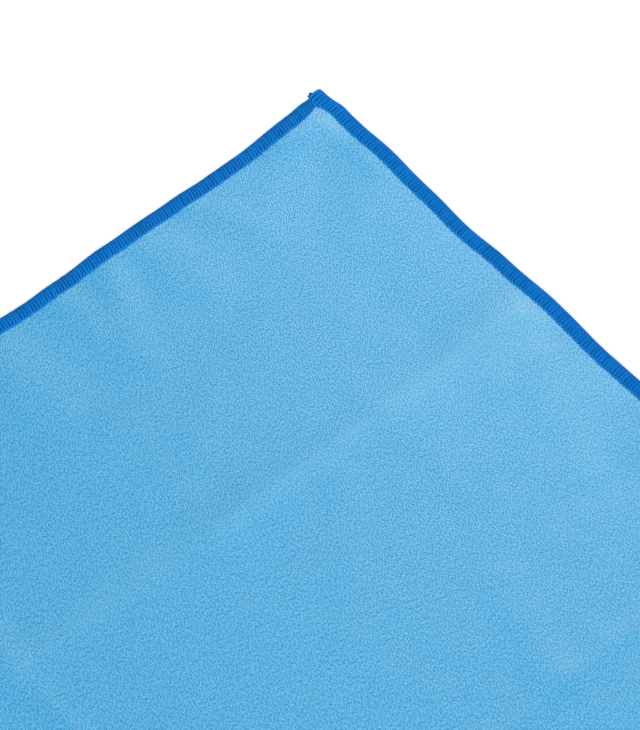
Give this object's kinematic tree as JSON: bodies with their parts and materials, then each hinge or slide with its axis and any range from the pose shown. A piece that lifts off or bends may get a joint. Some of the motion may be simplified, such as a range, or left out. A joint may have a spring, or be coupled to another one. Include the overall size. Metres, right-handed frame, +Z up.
{
  "type": "travel towel",
  "caption": "Rectangular brushed microfibre travel towel with overlocked thread edging, laid out flat with soft pack creases and gently waving edges.",
  "frame": {"origin": "on the surface that the towel lies on, under the middle of its outline", "axes": "+Z up out of the surface, +X along the long sides, +Y along the short sides"},
  "size_m": [0.8, 0.4009, 0.0047],
  "materials": {
    "brushed_microfibre": "pale blue suede-brushed microfibre, matt with a soft sheen",
    "edging_thread": "mid blue textured polyester thread in close overlock stitches, soft satin"
  },
  "bodies": {
    "root": {"cloth": "brushed_microfibre", "overlock_short_right": "edging_thread", "overlock_long_back": "edging_thread", "overlock_short_left": "edging_thread", "overlock_long_front": "edging_thread"}
  },
  "joints": []
}
